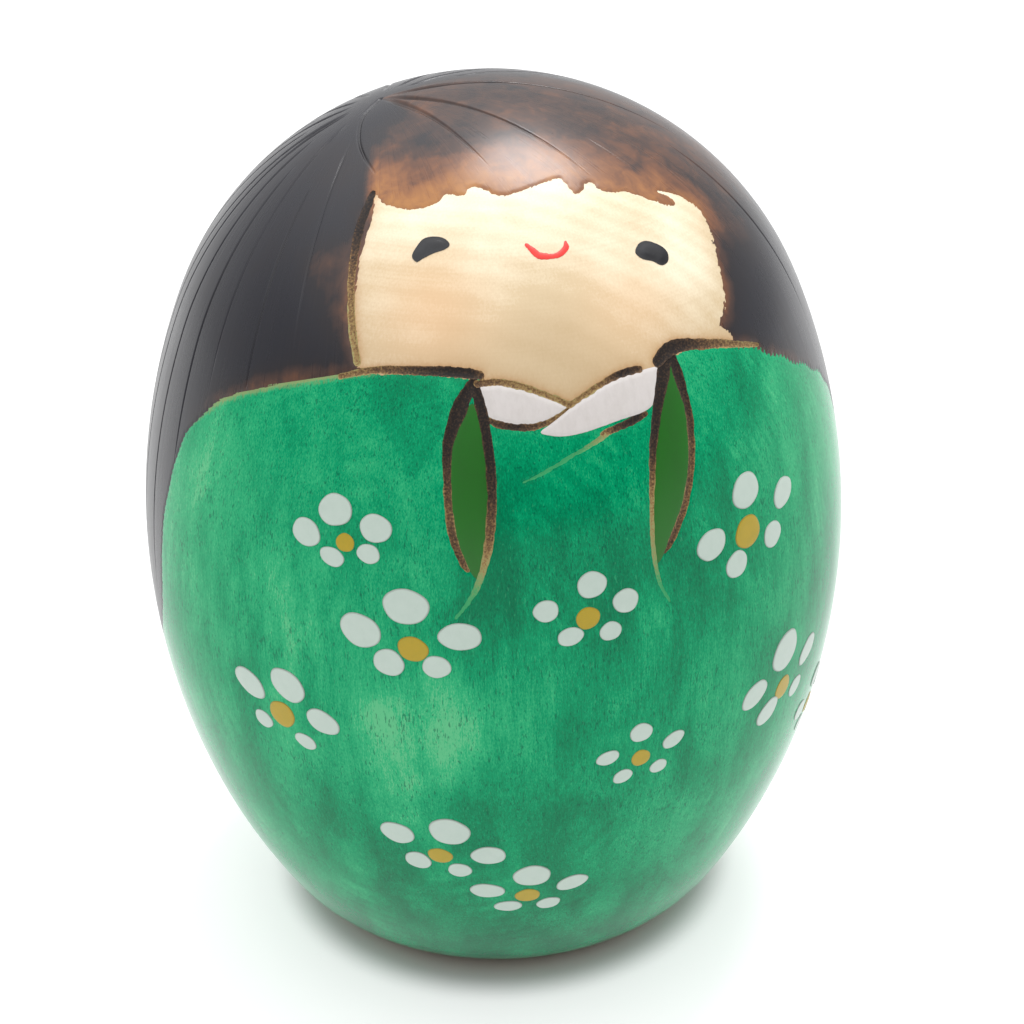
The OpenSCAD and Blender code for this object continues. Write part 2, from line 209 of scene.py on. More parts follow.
SLEEVE_LINES_LEFT = [
    [[-8.6, 80.3, 0.45, 1], [-9.3, 79.3, 0.65, 1], [-10.1, 78, 0.8, 1], [-10.9, 76.4, 0.65, 1],
     [-11.6, 74.4, 0.5, 0.95], [-11.9, 71.2, 0.42, 0.6], [-12, 68, 0.42, 0.45], [-11.7, 65.4, 0.4, 0.55],
     [-11.1, 63.6, 0.34, 0.5], [-10.7, 62.9, 0.2, 0.3]],
    [[-8.4, 80.5, 0.4, 1], [-8.1, 78.6, 0.52, 1], [-7.8, 76, 0.5, 1], [-7.7, 73.3, 0.48, 1],
     [-7.8, 70.6, 0.48, 0.8], [-8.1, 68, 0.48, 0.55], [-8.5, 65.6, 0.45, 0.35], [-9.1, 63.4, 0.38, 0],
     [-9.9, 61.3, 0.3, -0.35], [-11, 59.4, 0.22, -0.6], [-12.2, 57.9, 0.12, -0.9]],
]
SLEEVE_LINES_RIGHT = [
    [[11.4, 80.6, 0.5, 1], [10.7, 79.2, 0.75, 1], [10, 77.4, 0.65, 1], [9.3, 75.2, 0.52, 1],
     [8.7, 72.6, 0.42, 0.8], [8.35, 69.8, 0.33, 0.4], [8.1, 67, 0.27, 0.1], [8, 64, 0.24, -0.1],
     [8.1, 61.6, 0.22, -0.25], [8.6, 59.2, 0.18, -0.5], [9.6, 57, 0.12, -0.9]],
    [[11.8, 80.5, 0.45, 1], [12.3, 78.4, 0.6, 0.95], [12.95, 75.6, 0.45, 0.8], [13.1, 72.8, 0.42, 0.6],
     [12.8, 70, 0.42, 0.5], [12.1, 67.2, 0.42, 0.45], [11.1, 65, 0.4, 0.5], [10, 63.2, 0.35, 0.55],
     [9.3, 62.3, 0.2, 0.5]],
]
MOUTH_LINE = [
    [[-1.2, 91, 0.2], [-0.7, 90.55, 0.32], [-0.1, 90.15, 0.38], [0.9, 90, 0.28], [1.9, 90.1, 0.27],
     [2.6, 90.45, 0.32], [2.7, 90.9, 0.16]],
]

# Where the hair ends, as [azimuth, z]: over the shoulders, down the sides and round the back.
HAIR_EDGE = [
    [0, 82.5], [20, 81.6], [28, 81], [36.1, 79.1], [44, 76.8], [50, 74.7], [58, 71.9], [64, 69.4], [69, 66],
    [73, 61], [76, 55], [79, 49], [84, 42.5], [93, 36.5], [107.6, 32], [129, 29], [180, 29],
    [231, 29], [252.4, 32], [267, 36.5], [276, 42], [281, 48.5], [282.7, 56.5], [285.2, 63.6],
    [288.2, 68.9], [294.5, 73.3], [299.3, 75.3], [306, 77.2], [313.8, 78.9], [322.3, 80.3], [328.6, 81],
    [340, 81.6]
]
FOOT_Z = round(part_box("dress_coat")[0].z / MM, 1)

# Hair grooves, straight in plan from the crown point: [direction from +X, start, lowest z, strength].
WHORL_X = -10.5
WHORL_Y = 3
GROOVES = [
    [-68, 0, 96, 0.6], [-49, 0, 94, 0.8], [-39, 23, 92, 0.5], [-31, 26, 90, 0.5], [-22, 30, 72, 0.6],
    [-14, 1, 93, 1.1], [-120, 8, 78, 0.4], [-131, 14, 70, 0.9], [-143, 5, 72, 0.6], [-153, 12, 60, 0.9],
    [-164, 8, 46, 0.9], [-175, 3, 44, 1]
] + [[178 - 13 * i, 3 + 5 * (i % 2), 38 + 9 * (i % 3), 0.9] for i in range(14)]
CROWN_LOCK = [[-10.5, 3], [-13, -0.4], [-14.2, -4.8], [-14.3, -8.4], [-13.8, -11.5]]

# Flowers: [azimuth, z, tilt, dabs], each dab [across, up, half width, half height, turn].
DAISY = [
    [0.4, 4, 1.8, 1.5, 0], [-4.5, 1.5, 1.7, 1.3, -10], [4.8, 1.3, 1.7, 1.2, 8], [-2.2, -1.8, 1.3, 1.1, -12],
    [2.6, -1.9, 1.2, 1, 6], [0, 0, 1.4, 1.2, 0]
]


def daisy(width, height, dab, centre=1):
    """The common flower with its own spread, dab size and centre size."""
    sizes = [dab] * 5 + [centre]
    return [
        [d[0] * width, d[1] * height, d[2] * s, d[3] * s, d[4]] for d, s in zip(DAISY, sizes)
    ]


FLOWERS = [
    [-35, 64.5, 8, [
        [-0.7, 3.4, 1.75, 1.6, 10], [-4.2, 1, 1.6, 1.35, -25], [3.5, 1.6, 1.6, 1.4, -20],
        [-1.5, -1.4, 1.3, 0.95, -20], [2.5, -1, 1.2, 0.95, -15], [0.1, 0.1, 0.95, 0.95, 0]]],
    [-24.5, 54.5, 2, [
        [-0.4, 4.4, 2.3, 1.8, 0], [-5.3, 1.4, 2.15, 1.7, -28], [4.9, 1.3, 2.05, 1.45, 0],
        [-2.5, -1.9, 1.6, 1.4, -15], [2.4, -2.1, 1.4, 1.2, -10], [0.1, -0.2, 1.55, 1.3, -10]]],
    [-46.5, 43, -5, [
        [0.6, 4.1, 2.2, 1.7, -25], [-4.6, 2.05, 2.1, 1.45, -20], [4.9, 1.1, 1.9, 1.35, -10],
        [-2.8, -1.9, 1.2, 1, -15], [2.7, -2.4, 1.25, 0.9, -10], [-0.2, 0, 1.6, 1.5, -20]]],
    [1, 57, 0, [
        [0.65, 3.6, 1.45, 1.35, 0], [4.1, 1.3, 1.3, 1.25, 25], [-4.1, 1.4, 1.25, 1.1, 0],
        [2.4, -1.7, 1.1, 1, 10], [-1.75, -1.65, 1.3, 0.95, 15], [0.1, 0.1, 1.2, 1.15, 10]]],
    [29.5, 61, 5, [
        [0.9, 4.5, 1.9, 1.75, 30], [6.5, 1.7, 1.8, 1.3, 30], [3.7, -1.8, 1.4, 1.3, 20],
        [-4.9, 1, 1.8, 1.5, 20], [-2.15, -2.5, 1.5, 1.3, 20], [0.1, 0.2, 1.75, 1.65, 30]]],
    [9.5, 39, 2, [
        [0, 3.4, 1.25, 1.1, 0], [3.8, 1.1, 1.3, 0.9, 20], [-3.7, 1.1, 1.2, 0.85, 15],
        [2.1, -1.9, 1, 0.8, 10], [-2, -1.9, 1.05, 0.85, 15], [0, 0, 1.05, 1, 10]]],
    [38.7, 39.5, 3, [
        [0.1, 5, 2.4, 2.1, 35], [5.4, 2, 1.9, 1.3, 30], [-5.1, 2, 2, 1.4, 25], [3.2, -1.7, 1.3, 1.1, 20],
        [-2.4, -1.8, 1.8, 1.35, 30], [0.2, 0, 1.4, 1.3, 35]]],
    [56, 30.5, 0, daisy(0.9, 0.95, 0.9)],
    [-22.5, 27, -7, [
        [0.8, 4.2, 2.1, 1.9, 0], [-4.75, 2.4, 1.85, 1.45, -10], [5.1, 0.9, 1.75, 1.4, 5],
        [-2.35, -1.5, 1.4, 1.3, -10], [2.2, -2.1, 1.25, 1.1, 0], [0, 0, 1.3, 1.15, 0]]],
    [-8, 20, -2, [
        [0.3, 3.8, 2, 1.7, 5], [4.8, 1.7, 1.7, 1.2, 18], [-4.4, 1, 1.8, 1.25, 0], [2.4, -1.9, 1.3, 1, 15],
        [-2, -2.1, 1.45, 1, 5], [0, 0, 1.35, 1.15, 8]]],
    [84, 30, 4, daisy(0.95, 1, 1)],
    [110, 18, -3, daisy(1, 0.95, 1)],
    [146, 21, 2, daisy(1, 1.05, 1.1)],
    [-169, 17, 0, daisy(0.9, 0.9, 0.9)],
    [-133, 21, -5, daisy(1, 1, 1)],
    [-98, 25, 3, daisy(1, 1.05, 1.1)],
]

# ---- Signed fields over the surface: below zero inside ----

# Distances are only measured within the margin of a line, and count as far beyond it.
MARGIN = 7
FAR = 99.0


def nearest(p, line, values=None):
    """Distance of each point from a polyline, and the line's own values at the nearest place."""
    values = np.zeros((len(line), 1)) if values is None else values
    gap = np.full(len(p), FAR)
    found = np.zeros((len(p), values.shape[1]))
    near = np.all((p > line.min(0) - MARGIN) & (p < line.max(0) + MARGIN), 1)
    q = p[near]
    best, value = gap[near], found[near]
    for i in range(len(line) - 1):
        start, along = line[i], line[i + 1] - line[i]
        t = np.clip((q - start) @ along / max(along @ along, 1e-12), 0, 1)
        d = np.linalg.norm(q - start - t[:, None] * along, axis=1)
        closer = d < best
        best[closer] = d[closer]
        value[closer] = (values[i] + t[:, None] * (values[i + 1] - values[i]))[closer]
    gap[near], found[near] = best, value
    return gap, found


def inside_outline(p, outline):
    """True for points of the front whose [x, z] lies inside a closed outline."""
    x, z = p[:, 0], p[:, 2]
    odd = np.zeros(len(p), bool)
    for (x0, z0), (x1, z1) in zip(outline, np.roll(outline, -1, 0)):
        if z0 != z1:
            odd ^= ((z0 > z) != (z1 > z)) & (x < (x1 - x0) * (z - z0) / (z1 - z0) + x0)
    return odd & (p[:, 1] < 0)


def shape_field(points, steps=6):
    """The field of a closed shape on the front."""
    outline = smooth(points, closed=True, steps=steps)
    edge = from_front(np.vstack([outline, outline[:1]]))

    def field(p):
        gap, _ = nearest(p, edge)
        return np.where(inside_outline(p, outline), -gap, gap)
    return field


def stroke_values(p, lines):
    """Distance past the nearest line's edge, and that line's remaining values there."""
    edge = np.full(len(p), FAR)
    held = np.zeros((len(p), max(1, len(lines[0][0]) - 2)))
    for points in lines:
        c = smooth(points)
        gap, values = nearest(p, from_front(c[:, :2]), c[:, 2:])
        past = gap - values[:, 0]
        past[gap == FAR] = FAR
        closer = past < edge
        edge[closer] = past[closer]
        held[closer] = values[closer]
    return edge, held


def stroke_field(lines):
    """The field of painted or burnt lines, with slightly uneven edges."""
    return lambda p: stroke_values(p, lines)[0] + 0.05 * ripple(p, 2.6) + 0.05 * ripple(p, 0.9)


def ripple(p, pitch):
    """A small uneven wave over the surface, from -1 to 1, with about this many millimetres to a wave."""
    k = 2 * math.pi / pitch
    a = np.sin(k * (p[:, 0] + 0.31 * p[:, 2]) + 1.3)
    b = np.sin(k * (0.83 * p[:, 1] - 0.66 * p[:, 2] + 0.4 * p[:, 0]) * 1.7)
    c = np.sin(k * (0.57 * p[:, 0] - 0.9 * p[:, 1] + 0.21 * p[:, 2]) * 2.9 + 0.7)
    return (a + b + c) / 3


HAIR_LOOP = np.vstack([smooth(HAIR_EDGE, steps=5), [[360, HAIR_EDGE[0][1]]]])
HAIR_LINE = from_turn(HAIR_LOOP)


def hair_edge_field(p):
    """Below zero where the dress is, above where the hair is; brush teeth follow the edge."""
    turn = azimuth(p) % 360
    above = p[:, 2] > np.interp(turn, HAIR_LOOP[:, 0], HAIR_LOOP[:, 1])
    gap, _ = nearest(p, HAIR_LINE)
    reach = np.radians(turn) * radius_at(p[:, 2]) - 0.6 * p[:, 2]
    teeth = np.abs(np.sin(reach * 3.1)) + 0.6 * np.abs(np.sin(reach * 7.3 + 1)) + 0.5 * np.sin(reach * 0.9)
    long = 0.15 + 0.2 * ease(p[:, 0], 10, 18)
    return np.where(above, gap, -gap) + long * (teeth - 0.9)


FACE_FIELD = shape_field(FACE)


def face_field(p):
    """The face's field, with small uneven notches that are larger on the right."""
    rough = 1 + ease(p[:, 0], 12, 17) * ease(p[:, 2], 92, 89)
    return FACE_FIELD(p) + rough * (0.1 * ripple(p, 1.9) + 0.09 * ripple(p[:, [1, 0, 2]], 0.8))


def foot_field(p):
    """Below zero under the dress's lower edge, where the side's length is 1.6 times its height."""
    return (p[:, 2] - FOOT_Z) * 1.6


# The finishes that are cut out of the surface, the one on top first.
FIELDS = {
    "neck_line": stroke_field(NECK_LINES),
    "sleeve_line_left": stroke_field(SLEEVE_LINES_LEFT),
    "sleeve_line_right": stroke_field(SLEEVE_LINES_RIGHT),
    "collar_right": shape_field(COLLAR_RIGHT),
    "collar_line": stroke_field(COLLAR_LINES),
    "collar_left": shape_field(COLLAR_LEFT),
    "sleeve_lining_left": shape_field(SLEEVE_LEFT),
    "sleeve_lining_right": shape_field(SLEEVE_RIGHT),
    "eye_left": shape_field(EYE_LEFT),
    "eye_right": shape_field(EYE_RIGHT),
    "mouth": stroke_field(MOUTH_LINE),
    "cheek_line": stroke_field(CHEEK_LINES),
    "face": face_field,
    "foot": foot_field,
    "dress_coat": hair_edge_field,
}
NAMES = list(FIELDS)
HAIR = len(NAMES)

# ---- Cutting a triangle mesh ----


def edges_of(tris, count):
    """The mesh's edges as vertex pairs, and for each triangle the numbers of its three."""
    ends = np.stack([tris, np.roll(tris, -1, 1)], 2)
    key = ends.min(2) * count + ends.max(2)
    unique, number = np.unique(key.ravel(), return_inverse=True)
    return np.c_[unique // count, unique % count], number.reshape(-1, 3)


def split(tris, on_edge):
    """Splits triangles at new vertices: on_edge is the one on each side, or -1."""
    count = (on_edge >= 0).sum(1)
    parts = [tris[count == 0]]

    def turned(rows, shift):
        order = (np.arange(3) + shift[:, None]) % 3
        return (
            *np.take_along_axis(tris[rows], order, 1).T,
            *np.take_along_axis(on_edge[rows], order, 1).T,
        )

    a, b, c, ab, _, _ = turned(count == 1, np.argmax(on_edge[count == 1] >= 0, 1))
    parts += [np.c_[a, ab, c], np.c_[ab, b, c]]
    a, b, c, ab, bc, _ = turned(count == 2, (np.argmax(on_edge[count == 2] < 0, 1) + 1) % 3)
    parts += [np.c_[ab, b, bc], np.c_[a, ab, bc], np.c_[a, bc, c]]
    a, b, c, ab, bc, ca = turned(count == 3, np.zeros((count == 3).sum(), int))
    parts += [np.c_[a, ab, ca], np.c_[ab, b, bc], np.c_[bc, c, ca], np.c_[ab, bc, ca]]
    return np.vstack(parts)


def refine(points, tris, size, passes):
    """Halves edges that are longer than size(points) says, on the surface."""
    for _ in range(passes):
        ends, number = edges_of(tris, len(points))
        middle = (points[ends[:, 0]] + points[ends[:, 1]]) / 2
        length = np.linalg.norm(points[ends[:, 0]] - points[ends[:, 1]], axis=1)
        long = length > size(middle)
        if not long.any():
            break
        new = np.full(len(ends), -1)
        new[long] = len(points) + np.arange(long.sum())
        points = np.vstack([points, on_egg(middle[long])[0]])
        tris = split(tris, new[number])
    return points, tris


def cut(points, tris, field, where=None):
    """Adds vertices along the field's zero line, so that triangle sides follow it.

    where, if given, is true for points that the line may pass between.
    """
    tolerance = 0.015
    used = np.unique(tris)
    values = np.zeros(len(points))
    values[used] = field(points[used])
    ends, number = edges_of(tris, len(points))
    fa, fb = values[ends[:, 0]], values[ends[:, 1]]
    crossing = (fa * fb < 0) & (np.minimum(abs(fa), abs(fb)) > tolerance) & (np.maximum(abs(fa), abs(fb)) < 5)
    if where is not None:
        crossing &= where(points[ends[:, 0]]) & where(points[ends[:, 1]])
    a, b = points[ends[crossing, 0]], points[ends[crossing, 1]]
    fa, fb = fa[crossing], fb[crossing]
    if not len(a):
        return points, tris
    for _ in range(3):
        t = np.clip(fa / (fa - fb), 0.02, 0.98)[:, None]
        middle = on_egg(a + t * (b - a))[0]
        fm = field(middle)
        same = fm * fa > 0
        a, fa = np.where(same[:, None], middle, a), np.where(same, fm, fa)
        b, fb = np.where(same[:, None], b, middle), np.where(same, fb, fm)
    new = np.full(len(ends), -1)
    new[crossing] = len(points) + np.arange(len(middle))
    return np.vstack([points, middle]), split(tris, new[number])


def ball(level):
    """An icosphere's points, sent out onto the body, and its triangles."""
    mesh = bpy.data.meshes.new("ball")
    bm = bmesh.new()
    bmesh.ops.create_icosphere(bm, subdivisions=level, radius=10)
    bm.to_mesh(mesh)
    bm.free()
    points = np.array([v.co for v in mesh.vertices], float)
    tris = np.array([p.vertices[:] for p in mesh.polygons])
    bpy.data.meshes.remove(mesh)
    return on_egg(points + [0, 0, BELLY_Z])[0], tris


def all_fields(p):
    """One column per finish."""
    return np.stack([field(p) for field in FIELDS.values()], 1)


def surface():
    """The whole surface, cut along every outline, and the finish of each triangle."""
    points, tris = ball(6)

    def size(p):
        edge = np.min(np.abs(all_fields(p)), 1)
        front = (p[:, 1] < -15) & (p[:, 2] > 75)
        return np.clip(0.34 + 0.5 * (edge - 0.6), 0.34, np.where(front, 0.9, 1.8))

    points, tris = refine(points, tris, size, 4)
    for name in reversed(NAMES):
        points, tris = cut(points, tris, FIELDS[name])
    inside = all_fields(on_egg(points[tris].mean(1))[0]) < 0
    return points, tris, np.where(inside.any(1), np.argmax(inside, 1), HAIR)


# ---- Hair grooves ----

# Half width and depth of a groove of strength 1, how far from its middle the mesh is cut for it, and the
# shares of the half width where triangle sides follow it.
GROOVE_W = 0.22
GROOVE_DEPTH = 0.19
GROOVE_REACH = 2.4
FRACTIONS = (-1.5, -1, -0.6, -0.3, 0, 0.3, 0.6, 1, 1.5)


def upper_height(r):
    """Height of the upper surface at this distance from the axis."""
    top = PROFILE[PROFILE[:, 1] >= BELLY_Z][::-1]
    return float(np.interp(r, top[:, 0], top[:, 1]))


WHORL = np.array([WHORL_X, WHORL_Y, upper_height(math.hypot(WHORL_X, WHORL_Y))])


def straight_groove(direction, start, low_z, strength):
    """One groove: a place() that gives how far across it a point is and its half width and depth there,
    with the distances from the crown point where the groove starts and ends.
    """
    turn = math.radians(direction)
    ahead = np.array([math.cos(turn), math.sin(turn), 0])
    aside = np.array([-math.sin(turn), math.cos(turn), 0])
    end = max(np.linalg.norm(q - WHORL) for q in plan_line(ahead) if q[2] > low_z)

    def place(p, normal):
        away = p - WHORL
        reach = np.linalg.norm(away, axis=1)
        across = away @ aside / np.sqrt(np.maximum(1 - (normal @ aside) ** 2, 0.2))
        opening = np.exp(-(reach / 9) ** 2)
        fade = ease(reach, start, start + 5) * ease(reach, end, end - min(14, 0.45 * end))
        half = GROOVE_W * (1 + 2.4 * opening) * (0.5 + 0.5 * fade)
        depth = GROOVE_DEPTH * strength * (1 + 2 * opening) * fade
        on = (away @ ahead > 0) & (reach > start) & (reach < end)
        return across, half, np.where(on, depth, 0)
    return place, start, end


def plan_line(ahead):
    """Points down the body's surface in a straight plan direction from the crown point."""
    found = []
    for d in np.arange(0, 56, 0.25):
        x, y = WHORL[:2] + ahead[:2] * d
        r = math.hypot(x, y)
        if r > BELLY_R - 0.05:
            break
        found.append([x, y, upper_height(r)])
    x, y = found[-1][:2]
    return np.array(found + [[x, y, z] for z in np.arange(found[-1][2], 25, -1)])


def lock_groove(points):
    """The curved groove that parts the fringe from the side hair."""
    c = smooth(points)
    line = np.array([[x, y, upper_height(math.hypot(x, y))] for x, y in c])
    length = np.r_[0, np.cumsum(np.linalg.norm(np.diff(line, axis=0), axis=1))]

    def place(p, normal):
        gap, reach = nearest(p, line, length[:, None])
        reach = reach[:, 0]
        part = np.interp(reach, length, range(len(line))).astype(int).clip(0, len(line) - 2)
        step, off = line[part + 1] - line[part], p - line[part]
        side = np.sign(step[:, 0] * off[:, 1] - step[:, 1] * off[:, 0])
        fade = ease(reach, length[-1], length[-1] - 5)
        half = GROOVE_W * (2 - reach / length[-1])
        return side * gap, half, GROOVE_DEPTH * (0.3 + 0.9 * fade) * (gap < 3)
    return place


STRAIGHT = [straight_groove(*g) for g in GROOVES]
LOCK_END = 20
ALL_GROOVES = STRAIGHT + [(lock_groove(CROWN_LOCK), 0, LOCK_END)]


def groove_depth(p):
    """How far the grooves are cut below the hair's surface."""
    normal = on_egg(p)[1]
    depth = np.zeros(len(p))
    for place, _, _ in ALL_GROOVES:
        across, half, deep = place(p, normal)
        depth = np.maximum(depth, deep * ease(np.abs(across), half, 0))
    return depth


def groove_slope(p):
    """The slope of the grooves' depth over the surface."""
    normal = on_egg(p)[1]
    along = unit(np.cross(normal, [[0.3, 0.9, 0.2]]))
    step = 0.03
    slope = np.zeros_like(p)
    for tangent in (along, np.cross(normal, along)):
        rise = groove_depth(p + step * tangent) - groove_depth(p - step * tangent)
        slope += tangent * (rise / (2 * step))[:, None]
    return slope


def cut_grooves(points, tris):
    """Adds triangle sides along every groove, at fixed shares of its half width; close to the crown point,
    where the grooves meet, the triangles are only made small.
    """
    clear = 2.6

    def near_whorl(p):
        return np.where(np.linalg.norm(p - WHORL, axis=1) < 5, 0.28, 9)

    points, tris = refine(points, tris, near_whorl, 4)
    for place, start, end in ALL_GROOVES:
        across, _, _ = place(points, on_egg(points)[1])
        close = (np.abs(across) < GROOVE_REACH)[tris].any(1)
        part, rest = tris[close], tris[~close]

        def along(p):
            r = np.linalg.norm(p - WHORL, axis=1)
            return (r > max(clear, start)) & (r < end) & (np.abs(place(p, on_egg(p)[1])[0]) < GROOVE_REACH)

        for share in FRACTIONS:
            def wall(p):
                across, half, _ = place(p, on_egg(p)[1])
                return across - share * half

            points, part = cut(points, part, wall, where=along)
        tris = np.vstack([rest, part])
    return points, tris


# ---- Making pieces ----


def height_slope(points, tris, height, count):
    """The slope of a height over the surface at each vertex, from its triangles."""
    a, b, c = (points[tris[:, i]] for i in range(3))
    normal = np.cross(b - a, c - a)
    area = np.maximum(np.linalg.norm(normal, axis=1), 1e-9)
    facing = normal / area[:, None]
    ha, hb, hc = (height[tris[:, i]] for i in range(3))
    slope = np.cross(facing, (hb - ha)[:, None] * (a - c) + (hc - ha)[:, None] * (b - a)) / area[:, None]
    total, weight = np.zeros((count, 3)), np.zeros(count)
    for i in range(3):
        for k in range(3):
            total[:, k] += np.bincount(tris[:, i], slope[:, k] * area, count)
        weight += np.bincount(tris[:, i], area, count)
    return total / np.maximum(weight, 1e-12)[:, None]


def open_sides(tris):
    """The directed sides that only one triangle has."""
    sides = np.vstack([tris[:, [0, 1]], tris[:, [1, 2]], tris[:, [2, 0]]])
    big = sides.max() + 1
    key = sides[:, 0] * big + sides[:, 1]
    back = sides[:, 1] * big + sides[:, 0]
    return sides[~np.isin(key, back)]


def build(name, co, faces, loop_normals, values, material):
    """A mesh object from points in millimetres, with exact normals and per-vertex values."""
    mesh = bpy.data.meshes.new(name)
    mesh.from_pydata((co * MM).tolist(), [], faces)
    mesh.polygons.foreach_set("use_smooth", np.ones(len(faces), bool))
    for key, value in values.items():
        value = np.asarray(value, np.float32)
        kind = "FLOAT" if value.ndim == 1 else "FLOAT_VECTOR"
        layer = mesh.attributes.new(key, kind, "POINT")
        layer.data.foreach_set("value" if value.ndim == 1 else "vector", value.ravel())
    if loop_normals is not None:
        mesh.normals_split_custom_set(loop_normals.tolist())
    mesh.materials.append(material)
    obj = bpy.data.objects.new(name, mesh)
    bpy.context.scene.collection.objects.link(obj)
    return obj


def tile(name, points, tris, height, under, values, material, low_tris=None, carving=None):
    """A closed piece of the surface: its top at height, its rim and its hidden side at under.

    low_tris, where given, are the triangles of a body that goes on below, instead of a hidden side.
    carving is a depth already cut into the surface below height, and the slope of that depth.
    """
    used = np.unique(tris if low_tris is None else np.vstack([tris, low_tris]))
    small = np.full(len(points), -1)
    small[used] = np.arange(len(used))
    n = len(used)
    top = small[tris]
    low = (small[tris][:, ::-1] if low_tris is None else small[low_tris]) + n
    base, normal = on_egg(points[used])
    h = height[used]
    depth, depth_slope = (carving[0][used], carving[1][used]) if carving else (0 * h, 0 * base)
    co = np.vstack([base + normal * (h - depth)[:, None], base + normal * under])
    sides = open_sides(top)
    rim = np.c_[sides[:, 1], sides[:, 0], sides[:, 0] + n, sides[:, 1] + n]
    lit = unit(normal - height_slope(base, top, h, n) + depth_slope)
    low_normal = normal if low_tris is not None else -normal
    rim_normal = unit(np.cross(co[rim[:, 1]] - co[rim[:, 0]], co[rim[:, 3]] - co[rim[:, 0]]))
    loops = np.vstack([
        lit[top.ravel()], low_normal[(low - n).ravel()], np.repeat(rim_normal, 4, 0)
    ])
    keep = {k: np.concatenate([v[used], v[used]]) for k, v in values.items()}
    faces = top.tolist() + low.tolist() + rim.tolist()
    return build(name, co, faces, loops, keep, material)


# ---- Node helpers ----


class Nodes:
    """Short ways to put nodes in a node tree."""

    def __init__(self, tree):
        self.tree = tree

    def put(self, kind, inputs, **settings):
        n = self.tree.nodes.new("ShaderNode" + kind)
        for key, value in settings.items():
            setattr(n, key, value)
        for key, value in inputs.items():
            if isinstance(value, bpy.types.NodeSocket):
                self.tree.links.new(value, n.inputs[key])
            else:
                n.inputs[key].default_value = value
        return n

    def vector(self, operation, a, b=None, scale=None):
        inputs = {0: a}
        if b is not None:
            inputs[1] = b
        if scale is not None:
            inputs["Scale"] = scale
        return self.put("VectorMath", inputs, operation=operation).outputs[0]

    def maths(self, operation, a, b=0.0, c=0.0, clamp=False):
        return self.put("Math", {0: a, 1: b, 2: c}, operation=operation, use_clamp=clamp).outputs[0]

    def add(self, a, b):
        return self.maths("ADD", a, b)

    def times(self, a, b):
        return self.maths("MULTIPLY", a, b)

    def total(self, *terms):
        """The sum of the terms, each a value or a (value, weight) pair."""
        values = [self.times(*term) if isinstance(term, tuple) else term for term in terms]
        result = values[0]
        for value in values[1:]:
            result = self.add(result, value)
        return result

    def attribute(self, name, vector=False):
        n = self.put("Attribute", {}, attribute_name=name)
        return n.outputs["Vector" if vector else "Fac"]

    def noise(self, vector, stretch=(1, 1, 1), detail=2.0, roughness=0.5, distortion=0.0):
        moved = self.vector("MULTIPLY", vector, stretch)
        return self.put("TexNoise", {
            "Vector": moved, "Scale": 1.0, "Detail": detail, "Roughness": roughness, "Distortion": distortion,
        }).outputs["Fac"]

    def step(self, value, low, high):
        """Smooth step from 0 at low to 1 at high."""
        n = self.put(
            "MapRange", {0: value, 1: low, 2: high, 3: 0.0, 4: 1.0}, interpolation_type="SMOOTHSTEP")
        return n.outputs[0]

    def ramp(self, value, *stops):
        n = self.put("ValToRGB", {0: value})
        band = n.color_ramp
        while len(band.elements) < len(stops):
            band.elements.new(0.5)
        for element, (position, colour) in zip(band.elements, stops):
            element.position = position
            element.color = (*colour, 1)
        return n.outputs[0]

    def mix(self, factor, a, b, blend="MIX"):
        n = self.put("Mix", {0: factor}, data_type="RGBA", blend_type=blend)
        for i, value in ((6, a), (7, b)):
            if isinstance(value, bpy.types.NodeSocket):
                self.tree.links.new(value, n.inputs[i])
            else:
                n.inputs[i].default_value = (*value, 1)
        return n.outputs[2]


class Shader(Nodes):
    """A Principled material, with its object coordinates in millimetres."""

    def __init__(self, name, **sockets):
        self.material = bpy.data.materials.new(name)
        self.material.use_nodes = True
        super().__init__(self.material.node_tree)
        self.tree.nodes.clear()
        self.bsdf = self.tree.nodes.new("ShaderNodeBsdfPrincipled")
        output = self.tree.nodes.new("ShaderNodeOutputMaterial")
        self.tree.links.new(self.bsdf.outputs[0], output.inputs[0])
        for key, value in sockets.items():
            self.bsdf.inputs[key.replace("_", " ")].default_value = value
        coords = self.tree.nodes.new("ShaderNodeTexCoord")
        self.mm = self.vector("SCALE", coords.outputs["Object"], scale=1 / MM)

    def finish(self, colour, roughness=None, bump=None, bump_depth=0.02):
        """Joins the colour, and where given the roughness and a bump of some millimetres."""
        self.tree.links.new(colour, self.bsdf.inputs["Base Color"])
        if roughness is not None:
            self.tree.links.new(roughness, self.bsdf.inputs["Roughness"])
        if bump is not None:
            n = self.put("Bump", {"Height": bump, "Distance": bump_depth * MM, "Strength": 1.0})
            self.tree.links.new(n.outputs[0], self.bsdf.inputs["Normal"])
        return self.material


# ---- Materials ----

# The tree's heart stood behind the doll, so the rings make a bullseye low on the left of its front.
HEART_TURN = math.radians(-27)
HEART_BACK = 55
HEART = (-math.sin(HEART_TURN) * HEART_BACK, math.cos(HEART_TURN) * HEART_BACK, 0)


def growth_rings(s, pitch):
    """0 to 1 across the growth rings of wood whose grain runs up the doll."""
    off = s.vector("MULTIPLY", s.vector("SUBTRACT", s.mm, HEART), (1, 1, 0.02))
    length = s.put("VectorMath", {0: off}, operation="LENGTH").outputs["Value"]
    wander = s.noise(s.mm, (0.09, 0.09, 0.02), 3)
    phase = s.total((length, 2 * math.pi / pitch), (wander, 7.0))
    return s.total((s.maths("SINE", phase), 0.5), 0.5)


